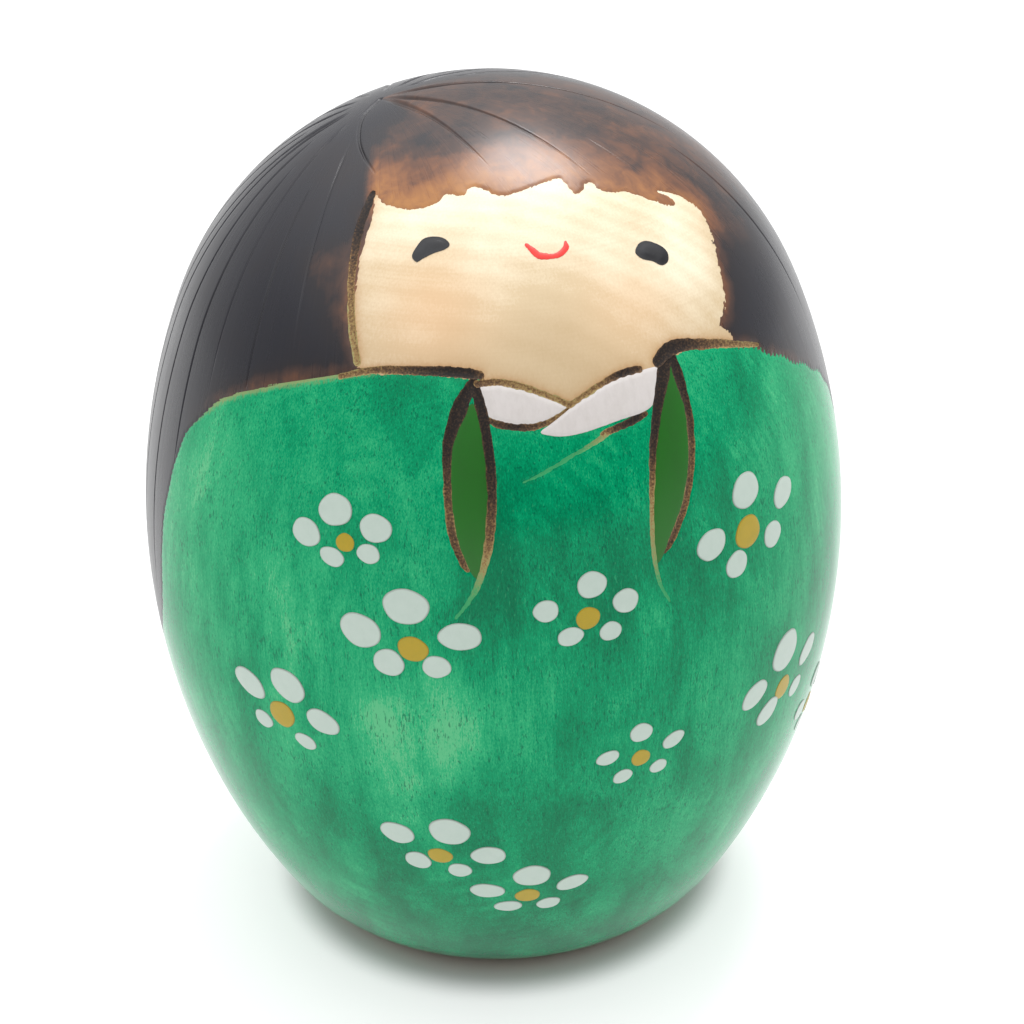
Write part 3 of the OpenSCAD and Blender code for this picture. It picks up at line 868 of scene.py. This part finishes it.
def wood_material():
    s = Shader("bare_wood", Roughness=0.32)
    rings = growth_rings(s, 1.7)
    fibre = s.noise(s.mm, (5, 5, 0.35), 4, 0.6)
    lathe = s.noise(s.mm, (0.06, 0.06, 5.5), 2, 0.5)
    cloud = s.noise(s.mm, (0.12, 0.12, 0.1), 2)
    # pale lightens the wood: rising up the face it is a painted highlight, and its spots are lighter patches.
    tone = s.total(
        (rings, 0.05), (fibre, 0.22), (lathe, 0.09), (cloud, 0.5), (s.attribute("pale"), -0.28), 0.165)
    wood = s.ramp(
        tone, (0.2, (0.84, 0.76, 0.58)), (0.48, (0.61, 0.475, 0.295)), (0.8, (0.50, 0.36, 0.2)))
    blush = s.attribute("blush")
    wood = s.mix(s.times(blush, 0.85), wood, (0.80, 0.43, 0.20))
    scorch = s.attribute("scorch")
    uneven = s.noise(s.mm, (3.5, 3.5, 2.5), 3, 0.6)
    wood = s.mix(s.maths("MULTIPLY", scorch, s.add(uneven, 0.35), clamp=True), wood, (0.42, 0.22, 0.08))
    pores = s.step(s.noise(s.mm, (7, 7, 0.9), 2, 0.5), 0.69, 0.75)
    wood = s.mix(s.times(pores, 0.12), wood, (0.55, 0.38, 0.2))
    return s.finish(wood, None, s.total((lathe, 0.3), (fibre, 0.4)), 0.004)


def hair_material():
    s = Shader("hair_lacquer", Specular_IOR_Level=0.42)
    strand = s.attribute("strand", vector=True)
    streak = s.noise(strand, (1.5, 1.5, 0.06), 3, 0.55)
    fine = s.noise(strand, (9, 9, 0.12), 3, 0.6)
    cloud = s.noise(s.mm, (0.16, 0.16, 0.13), 3, 0.55, 0.4)
    blotch = s.noise(s.mm, (0.5, 0.5, 0.35), 4, 0.6, 0.6)
    warm = s.attribute("warm")
    amount = s.total(
        warm, (s.add(blotch, -0.5), s.total((warm, 1.1), 0.1)),
        (s.add(streak, -0.5), s.total((warm, 0.22), 0.06)), (s.add(cloud, -0.52), 0.3))
    colour = s.ramp(
        amount, (0.0, (0.011, 0.011, 0.017)), (0.17, (0.014, 0.011, 0.014)), (0.33, (0.055, 0.027, 0.02)),
        (0.5, (0.14, 0.055, 0.026)), (0.72, (0.25, 0.1, 0.035)), (0.95, (0.35, 0.15, 0.042)))
    colour = s.mix(s.times(s.step(fine, 0.5, 0.75), 0.05), colour, (0.09, 0.07, 0.07), "ADD")
    # Painted shade: the hair is darkened where the grooves are cut deep.
    groove_shade = s.attribute("groove")
    colour = s.mix(s.times(groove_shade, 0.4), colour, (0.01, 0.008, 0.009))
    roughness = s.total(0.2, (s.total(streak, (cloud, 0.8)), 0.09))
    return s.finish(colour, roughness, s.total((streak, 0.6), (fine, 0.2)), 0.012)


def dress_material():
    s = Shader("green_dye", Specular_IOR_Level=0.14)
    # dye: the dress's lighter and darker patches; the dark one low at the front by the foot is painted shade.
    dye = s.attribute("dye")
    edge = s.attribute("edge")
    band = s.noise(s.mm, (0.42, 0.42, 0.035), 3, 0.5)
    stroke = s.step(s.noise(s.mm, (0.21, 0.21, 0.04), 1, 0.3), 0.47, 0.53)
    cloud = s.noise(s.mm, (0.15, 0.15, 0.07), 3, 0.55, 0.5)
    fibre = s.noise(s.mm, (4.5, 4.5, 0.45), 4, 0.65)
    grain = s.noise(s.mm, (9, 9, 3), 2, 0.6)
    rings = growth_rings(s, 0.8)
    ring_here = s.step(s.noise(s.mm, (0.14, 0.14, 0.12), 1), 0.5, 0.68)
    tone = s.total(
        (band, 0.25), (cloud, 0.75), (fibre, 0.55), (grain, 0.6), (stroke, 0.07),
        (s.times(rings, ring_here), 0.1), -1.05, dye)
    colour = s.ramp(
        tone, (0.1, (0.0, 0.12, 0.052)), (0.38, (0.0, 0.19, 0.08)), (0.6, (0.0, 0.30, 0.125)),
        (0.85, (0.03, 0.42, 0.18)), (1.0, (0.11, 0.49, 0.23)))
    vessel = s.noise(s.mm, (5.6, 5.6, 1.3), 1, 0.4)
    crowd = s.noise(s.mm, (0.2, 0.2, 0.3), 2, 0.5)
    fleck = s.step(s.total(vessel, (s.add(crowd, -0.5), 0.3)), 0.64, 0.69)
    colour = s.mix(s.times(fleck, 0.55), colour, (0.0, 0.09, 0.05))
    light = s.step(s.noise(s.vector("ADD", s.mm, (31, 7, 3)), (4.2, 4.2, 0.9), 2, 0.5), 0.64, 0.72)
    colour = s.mix(s.times(light, 0.25), colour, (0.05, 0.42, 0.2))
    fringe = s.step(s.total(edge, (s.add(fibre, -0.5), 1.2)), 0.75, 0.05)
    colour = s.mix(s.times(fringe, 0.75), colour, (0.30, 0.31, 0.13))
    roughness = s.total(0.11, (fibre, 0.1))
    return s.finish(colour, roughness, s.total((fibre, 0.6), (vessel, 0.5)), 0.01)


def char_material():
    s = Shader("char", Specular_IOR_Level=0.18)
    char = s.attribute("char")
    across = s.attribute("across")
    dots = s.noise(s.mm, (4.6, 4.6, 4.6), 3, 0.6)
    amount = s.total((char, 0.74), (s.add(dots, -0.5), 1.1), (s.step(across, 0.55, 1.0), -0.2), 0.09)
    colour = s.ramp(
        amount, (0.0, (0.32, 0.29, 0.12)), (0.17, (0.31, 0.2, 0.08)), (0.38, (0.145, 0.08, 0.038)),
        (0.6, (0.055, 0.034, 0.022)), (0.85, (0.018, 0.014, 0.013)))
    trace = s.step(s.total(char, (s.add(dots, -0.5), 0.6)), 0.0, -0.6)
    colour = s.mix(trace, colour, (0.045, 0.34, 0.13))
    return s.finish(colour, s.total(0.3, (dots, 0.2)), dots, 0.03)


def paint_material(name, colour, dark, rough, grain=(0.9, 0.9, 0.9), amount=0.5):
    """Brushed paint: a colour that thins a little towards a second one, and darkens at its rim."""
    s = Shader(name, Roughness=rough)
    body = s.noise(s.mm, grain, 3, 0.55)
    fine = s.noise(s.mm, (6, 6, 3), 2, 0.6)
    tone = s.total((body, 0.7), (fine, 0.3))
    shade = s.mix(s.times(s.step(tone, 0.35, 0.75), amount), colour, dark)
    rim = s.step(s.attribute("rim"), 0.9, 1.0)
    shade = s.mix(s.times(rim, 0.6), shade, [0.35 * c for c in dark])
    return s.finish(shade, None, s.total((body, 0.6), (fine, 0.25)), 0.02)


# ---- The pieces of the surface ----

# Heights over the turned surface: the coats' full thickness, the finishes' hidden sides, and the body's own
# surface where finishes cover it.
HAIR_T = 0.06
DRESS_T = 0.05
UNDER = -0.55
WALL_UNDER = -0.6


def lip(gap, thick, reach=0.35):
    """A paint film's height: thin at its edge and full a little way in."""
    return thick * (0.25 + 0.75 * ease(gap, 0, reach))


def spots(p, rows):
    """The sum of soft round spots."""
    total = np.zeros(len(p))
    for turn, z, size, amount in rows:
        centre = from_turn([[turn, z]])[0]
        total += amount * np.exp(-np.sum((p - centre) ** 2, 1) / (size * size))
    return total


# Soft spots, each [azimuth, z, radius in mm, amount]: rouge, lighter wood, and a lighter (+) or darker (-)
# dress, where the dark spot low at the front by the foot is painted shade.
BLUSH = [[-23, 86, 5.8, 0.42], [17, 85, 5.5, 0.3]]
PALE = [[26, 86, 6, 0.6], [-30, 82, 5, 0.55]]
DRESS_TONE_SPOTS = [
    [-60, 62, 20, 0.16], [-38, 58, 9, 0.08], [50, 66, 16, 0.14], [-8, 66, 15, -0.14], [18, 56, 9, -0.06],
    [-14, 6, 15, -0.3], [-24, 45, 9, 0.33], [-40, 20, 8, -0.05], [-30, 74, 8, 0.1], [-15, 74, 5, 0.08]
]
# Hair that is browner than the rest.
WARM_SPOTS = [
    [-43, 86, 3.5, 0.1], [-50, 88.7, 2.4, 0.26], [-57, 98, 3.5, 0.26], [-60, 95, 4, 0.12], [48, 95, 9, 0.07]
]
FRINGE_EDGE = from_front(smooth(FACE[:33]))
FACE_SIDES = [from_front(FACE[-7:]), from_front(FACE[31:39])]


def warmth(p):
    """How far the black thins to brown: along the fringe, beside the face and in a few soft spots."""
    fringe, at = nearest(p, FRINGE_EDGE, np.arange(len(FRINGE_EDGE))[:, None] / len(FRINGE_EDGE))
    share = at[:, 0]
    deep = 5.2 + 2.2 * np.sin(math.pi * np.clip(share * 1.25, 0, 1)) - 1.2 * ease(share, 0.6, 1)
    away = p - WHORL
    strand = np.degrees(np.arctan2(away[:, 1], away[:, 0]))
    right_of_lock = ease(strand, -109, -101)
    warm = 0.84 * np.exp(-(fringe / deep) ** 1.7) * (1 - 0.2 * ease(share, 0.25, 0.6)) * right_of_lock
    in_fringe = ease(strand, -84, -66) * ease(strand, 20, -12) * ease(p[:, 2], 82, 90) * (p[:, 1] < 20)
    warm = np.maximum(warm, 0.29 * in_fringe)
    left, _ = nearest(p, FACE_SIDES[0])
    right, _ = nearest(p, FACE_SIDES[1])
    warm = np.maximum(warm, 0.42 * np.exp(-(left / 1.9) ** 1.6))
    warm = np.maximum(warm, 0.42 * np.exp(-(right / 1.6) ** 1.5))
    hem, _ = nearest(p, HAIR_LINE)
    warm = np.maximum(warm, 0.36 * np.exp(-(hem / 1.5) ** 2) * ease(p[:, 2], 68, 76))
    return warm + spots(p, WARM_SPOTS)


STRAND_SPREAD = 30


def strand_vector(p):
    """A vector whose first two parts change across the strands and whose third runs along them."""
    away = p - WHORL
    reach = np.linalg.norm(away, axis=1)
    flat = np.hypot(away[:, 0], away[:, 1]) + 1e-6
    return np.c_[STRAND_SPREAD * away[:, :2] / flat[:, None], reach]


POINTS, TRIS, FINISH = surface()
VALUES = all_fields(POINTS)


def own(name):
    """The triangles of one finish."""
    return TRIS[FINISH == (HAIR if name == "hair_coat" else NAMES.index(name))]


def border_gap(points, tris):
    """Distance of each point from a finish's own border."""
    ends = open_sides(tris)
    middle = (points[ends[:, 0]] + points[ends[:, 1]]) / 2
    tree = kdtree.KDTree(len(middle))
    for i, q in enumerate(middle):
        tree.insert(q, i)
    tree.balance()
    gap = np.full(len(points), 9.0)
    for i in np.unique(tris):
        gap[i] = tree.find(points[i])[2]
    return gap


def settle(obj, slot, *nodes):
    """Every piece rides on the one body and stands for its CAD nodes; slot is not used."""
    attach(obj, "root")
    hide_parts(*nodes)
    return obj


def make_wood(material):
    shown = (FINISH == NAMES.index("face")) | (FINISH == NAMES.index("foot"))
    top, low = TRIS[shown], TRIS[~shown]
    strokes = [NAMES.index(n) for n in ("neck_line", "cheek_line", "collar_line", "sleeve_line_left")]
    near = np.min(np.abs(VALUES[:, strokes]), 1)
    values = {
        "blush": spots(POINTS, BLUSH),
        # Painted highlight: the face's wood grows lighter towards its top, plus a few lighter patches.
        "pale": ease(POINTS[:, 2], 79, 95) + spots(POINTS, PALE),
        "scorch": 0.75 * np.exp(-near / 0.4) + 0.14 * np.exp(-near / 1.6),
    }
    obj = tile("turned_wood", POINTS, top, np.zeros(len(POINTS)), WALL_UNDER, values, material, low)
    settle(obj, "bare_wood", "turned_body")


def make_hair(material):
    points, tris = cut_grooves(POINTS, own("hair_coat"))
    gap = border_gap(points, tris)
    whole = ease(gap, 0, 0.8)
    depth = groove_depth(points) * whole
    carving = depth, groove_slope(points) * whole[:, None]
    values = {
        "warm": warmth(points),
        "strand": strand_vector(points),
        # groove: the grooves' depth, where the hair's colour is darkened as painted shade.
        "groove": ease(depth, 0.05, 0.25),
    }
    obj = tile("hair", points, tris, lip(gap, HAIR_T), UNDER, values, material, carving=carving)
    settle(obj, "hair_lacquer", "hair_coat")


def make_dress(material):
    """The dress; edge is the distance from the hair's hem where a pale fringe of dye shows, on the left."""
    tris = own("dress_coat")
    gap = border_gap(POINTS, tris)
    turn = azimuth(POINTS)
    shown = ease(turn, -22, -34) * ease(turn, -74, -62)
    hem = np.abs(VALUES[:, NAMES.index("dress_coat")]) + 0.7 * (1 - shown)
    # dye: lighter and darker patches; the dark one low at the front by the foot is painted shade.
    values = {"edge": hem, "dye": 0.5 + spots(POINTS, DRESS_TONE_SPOTS)}
    obj = tile("dress", POINTS, tris, lip(gap, DRESS_T), UNDER, values, material)
    settle(obj, "green_dye", "dress_coat")


def make_line(name, lines, material):
    """A burnt line: a shallow rounded trough."""
    tris = own(name)
    edge, held = stroke_values(POINTS, lines)
    half = np.maximum(held[:, 0], 0.1)
    across = np.clip(1 + edge / half, 0, 1)
    height = -0.11 * (1 - across ** 2) * np.clip(half / 0.4, 0, 1)
    values = {"char": held[:, 1], "across": across}
    settle(tile(name, POINTS, tris, height, UNDER, values, material), "char", name)


def make_patch(name, slot, material, thick, reach):
    """A flat patch of paint with a rounded border."""
    tris = own(name)
    gap = border_gap(POINTS, tris)
    values = {"rim": 1 - ease(gap, 0, 0.3)}
    height = lip(gap, thick, reach)
    settle(tile(name, POINTS, tris, height, UNDER, values, material), slot, name)


# ---- Flowers ----

DAB_T = 0.1
DAB_SPREAD = 1.05
DAB_UNDER = -0.3
DAB_SIDES = 40
DAB_RINGS = [(0.35, 1), (0.62, 1), (0.84, 0.98), (0.94, 0.88), (0.985, 0.6), (1, 0.2), (1, -1)]
CENTRE_DROP = 0.035


def dab(axes, centre, d, phase):
    """One raised dab: rings of points, each [share of the width, share of the height], from its middle to
    its edge, then one more down under the dress.
    """
    across, up, out = axes
    sides = DAB_SIDES
    turn = np.arange(sides) * 2 * math.pi / sides
    uneven = 1 + 0.022 * np.sin(2 * turn + phase) + 0.02 * np.sin(3 * turn + 2.1 * phase) \
        + 0.012 * np.sin(5 * turn + 3.7 * phase)
    slope = math.radians(d[4])
    points, heights, rims = [], [], []
    for share, full in DAB_RINGS:
        u = share * uneven * DAB_SPREAD * d[2] * np.cos(turn)
        v = share * uneven * DAB_SPREAD * d[3] * np.sin(turn)
        x = d[0] + u * math.cos(slope) - v * math.sin(slope)
        y = d[1] + u * math.sin(slope) + v * math.cos(slope)
        points.append(centre + x[:, None] * across + y[:, None] * up)
        heights.append(np.full(sides, full))
        rims.append(np.full(sides, share))
    points = np.vstack([[centre + d[0] * across + d[1] * up]] + points)
    heights = np.r_[1, np.concatenate(heights)]
    rims = np.r_[0, np.concatenate(rims)]
    for _ in range(4):
        base, normal = on_egg(points)
        miss = np.sum((base - points) * normal, 1)
        points = points + out * (miss / (normal @ out))[:, None]
    base, normal = on_egg(points)
    full = DRESS_T + DAB_T * min(1, d[2] / 1.6)
    level = np.where(heights > 0, DRESS_T + (full - DRESS_T) * heights, DAB_UNDER)
    co = base + normal * level[:, None]
    faces = [[0, 1 + i, 1 + (i + 1) % sides] for i in range(sides)]
    for ring in range(len(DAB_RINGS) - 1):
        a, b = 1 + ring * sides, 1 + (ring + 1) * sides
        faces += [[a + i, b + i, b + (i + 1) % sides, a + (i + 1) % sides] for i in range(sides)]
    last = 1 + (len(DAB_RINGS) - 1) * sides
    faces.append([last + i for i in reversed(range(sides))])
    return co, faces, rims


def make_flower(number, turn, z, tilt, dabs, petal_material, centre_material):
    """One flower: a piece of five petals and a piece that is its centre."""
    centre = from_turn([[turn, z]])
    base, normal = on_egg(centre)
    out = normal[0]
    across = unit(np.cross([[0, 0, 1]], normal))[0]
    up = np.cross(out, across)
    lean = math.radians(tilt)
    across, up = (
        math.cos(lean) * across + math.sin(lean) * up, math.cos(lean) * up - math.sin(lean) * across)
    for what, slot, group, material in (
        ("petals", "petal_paint", dabs[:5], petal_material),
        ("centre", "centre_paint", dabs[5:], centre_material),
    ):
        co, faces, rims = np.zeros((0, 3)), [], np.zeros(0)
        for k, d in enumerate(group):
            c, f, r = dab((across, up, out), base[0], d, number * 1.7 + k * 2.3)
            if what == "centre":
                c = c - out * CENTRE_DROP
            faces += [[i + len(co) for i in face] for face in f]
            co, rims = np.vstack([co, c]), np.r_[rims, r]
        name = f"flower_{number:02d}_{what}"
        settle(build(name, co, faces, None, {"rim": rims}, material), slot, name)


# ---- Camera, lights and floor ----

CAMERA_TURN = math.radians(-12)
CAMERA_BACK = 2.206 * BODY_H
CAMERA_UP = 1.672 * BODY_H
CAMERA_PITCH = math.radians(28.26)
CAMERA_YAW = math.radians(0.53)
CAMERA_ROLL = math.radians(-1.32)
LENS = 75.35

# The surroundings' brightness overhead, at the sides, behind and in the dark part, and that part's turn.
TOP_WHITE = 1.75
SIDE_WHITE = 0.66
BACK_WHITE = 0.8
DARK_WHITE = 0.1
DARK_TURN = math.radians(14)
# How strongly the floor glows outside the doll's shadow: painted light.
FLOOR_PAINTED_GLOW = 0.47


def from_camera_turn(vector):
    """A vector given as if the camera stood straight in front, turned round to where it does stand."""
    return Matrix.Rotation(CAMERA_TURN, 3, "Z") @ Vector(vector)


def add_camera():
    forward = from_camera_turn((
        math.sin(CAMERA_YAW) * math.cos(CAMERA_PITCH), math.cos(CAMERA_YAW) * math.cos(CAMERA_PITCH),
        -math.sin(CAMERA_PITCH)))
    right = from_camera_turn((math.cos(CAMERA_YAW), -math.sin(CAMERA_YAW), 0))
    up = right.cross(forward)
    right, up = (
        math.cos(CAMERA_ROLL) * right + math.sin(CAMERA_ROLL) * up,
        math.cos(CAMERA_ROLL) * up - math.sin(CAMERA_ROLL) * right)
    camera = bpy.data.objects.new("camera", bpy.data.cameras.new("camera"))
    camera.data.lens = LENS
    camera.data.sensor_width = 36
    camera.data.clip_start = 0.01
    camera.data.clip_end = 20
    axes = Matrix((right, up, -forward)).transposed().to_4x4()
    place = from_camera_turn((0, -CAMERA_BACK * MM, CAMERA_UP * MM))
    camera.matrix_world = Matrix.Translation(place) @ axes
    bpy.context.scene.collection.objects.link(camera)
    bpy.context.scene.camera = camera


def add_softbox(name, turn, height, distance, size, power):
    """A square softbox that looks at the doll's middle, at a turn round it and an elevation in degrees."""
    middle = Vector((0, 0, BODY_H / 2 * MM))
    a, e = math.radians(turn), math.radians(height)
    away = Vector((math.sin(a) * math.cos(e), -math.cos(a) * math.cos(e), math.sin(e)))
    lamp = bpy.data.lights.new(name, "AREA")
    lamp.shape = "SQUARE"
    lamp.size = size
    lamp.energy = power
    obj = bpy.data.objects.new(name, lamp)
    obj.location = middle + away * distance
    obj.rotation_mode = "QUATERNION"
    obj.rotation_quaternion = away.to_track_quat("Z", "Y")
    bpy.context.scene.collection.objects.link(obj)


def add_stage():
    """The floor. Its colour is dark under the doll, a painted shadow, and it glows a little outside that
    shadow, painted light, as in the photo, where the background is burnt out.
    """
    s = Shader("floor_painted_shadow_and_glow", Roughness=0.6, Specular_IOR_Level=0.2, Emission_Color=(1, 1, 1, 1))
    off = s.put("VectorMath", {0: s.mm}, operation="LENGTH").outputs["Value"]
    # Painted light: the floor glows outside the doll's shadow, less and less further out.
    fading = s.times(s.step(off, BELLY_R, 2.5 * BELLY_R), -0.65)
    painted_glow = s.times(s.times(s.step(off, 0.61 * BELLY_R, 0.74 * BELLY_R), s.add(1.0, fading)), FLOOR_PAINTED_GLOW)
    s.tree.links.new(painted_glow, s.bsdf.inputs["Emission Strength"])
    cloud = s.noise(s.mm, (0.02, 0.02, 0.02), 3)
    pale = s.mix(cloud, (0.6, 0.6, 0.6), (0.64, 0.64, 0.64))
    # Painted shadow: the floor's colour turns dark under the doll.
    s.finish(s.mix(s.step(off, 0.62 * BELLY_R, 0.46 * BELLY_R), pale, (0.1, 0.11, 0.105)))
    reach = 4
    corners = [(-reach, -reach, 0), (reach, -reach, 0), (reach, reach, 0), (-reach, reach, 0)]
    mesh = bpy.data.meshes.new("floor")
    mesh.from_pydata(corners, [], [(0, 1, 2, 3)])
    mesh.materials.append(s.material)
    floor = bpy.data.objects.new("floor", mesh)
    bpy.context.scene.collection.objects.link(floor)


def add_surroundings():
    """A white sweep, brightest overhead, with the dark side of the room behind the camera."""
    world = bpy.data.worlds.new("studio")
    world.use_nodes = True
    n = Nodes(world.node_tree)
    look = n.put("TexCoord", {}).outputs["Generated"]
    parts = n.put("SeparateXYZ", {0: look}).outputs
    dark_side = (math.sin(DARK_TURN), -math.cos(DARK_TURN), 0)
    facing = n.put("VectorMath", {0: look, 1: dark_side}, operation="DOT_PRODUCT").outputs["Value"]
    facing = n.total(facing, (n.times(parts["Z"], parts["Z"]), -1.5))
    white = n.total(
        SIDE_WHITE, (n.step(parts["Z"], 0.38, 0.85), TOP_WHITE - SIDE_WHITE),
        (n.step(parts["Y"], 0.2, 0.8), BACK_WHITE - SIDE_WHITE))
    strength = n.times(white, n.total(1.0, (n.step(facing, 0.5, 0.95), DARK_WHITE / SIDE_WHITE - 1)))
    background = world.node_tree.nodes["Background"]
    background.inputs[0].default_value = (1, 1, 1, 1)
    n.tree.links.new(strength, background.inputs[1])
    bpy.context.scene.world = world
    bpy.context.scene.view_settings.view_transform = "Standard"


add_camera()
add_softbox("overhead", turn=140, height=69, distance=0.8, size=0.3, power=3.9)
add_stage()
add_surroundings()

char = char_material()
petal = paint_material("petal_paint", (0.49, 0.58, 0.52), (0.43, 0.53, 0.465), 0.35)
centre = paint_material("centre_paint", (0.42, 0.29, 0.006), (0.33, 0.26, 0.008), 0.35)
collar = paint_material("collar_paint", (0.64, 0.60, 0.58), (0.54, 0.50, 0.475), 0.4, (1.5, 1.5, 0.4))
lining = paint_material("lining_paint", (0.006, 0.125, 0.003), (0.01, 0.085, 0.006), 0.3, (0.3, 0.3, 0.1))
eye = paint_material("eye_paint", (0.004, 0.004, 0.006), (0.014, 0.016, 0.022), 0.2)
mouth = paint_material("mouth_paint", (0.74, 0.03, 0.02), (0.62, 0.015, 0.012), 0.35, (2, 2, 2))

make_wood(wood_material())
make_hair(hair_material())
make_dress(dress_material())
for line_name, lines in (
    ("neck_line", NECK_LINES), ("collar_line", COLLAR_LINES), ("cheek_line", CHEEK_LINES),
    ("sleeve_line_left", SLEEVE_LINES_LEFT), ("sleeve_line_right", SLEEVE_LINES_RIGHT),
):
    make_line(line_name, lines, char)
for patch in (
    ("collar_left", "collar_paint", collar, 0.08, 0.3), ("collar_right", "collar_paint", collar, 0.1, 0.3),
    ("sleeve_lining_left", "lining_paint", lining, 0.02, 0.2),
    ("sleeve_lining_right", "lining_paint", lining, 0.02, 0.2),
    ("eye_left", "eye_paint", eye, 0.18, 0.9), ("eye_right", "eye_paint", eye, 0.18, 0.9),
    ("mouth", "mouth_paint", mouth, 0.08, 0.25),
):
    make_patch(*patch)
for index, flower in enumerate(FLOWERS):
    make_flower(index + 1, *flower, petal, centre)
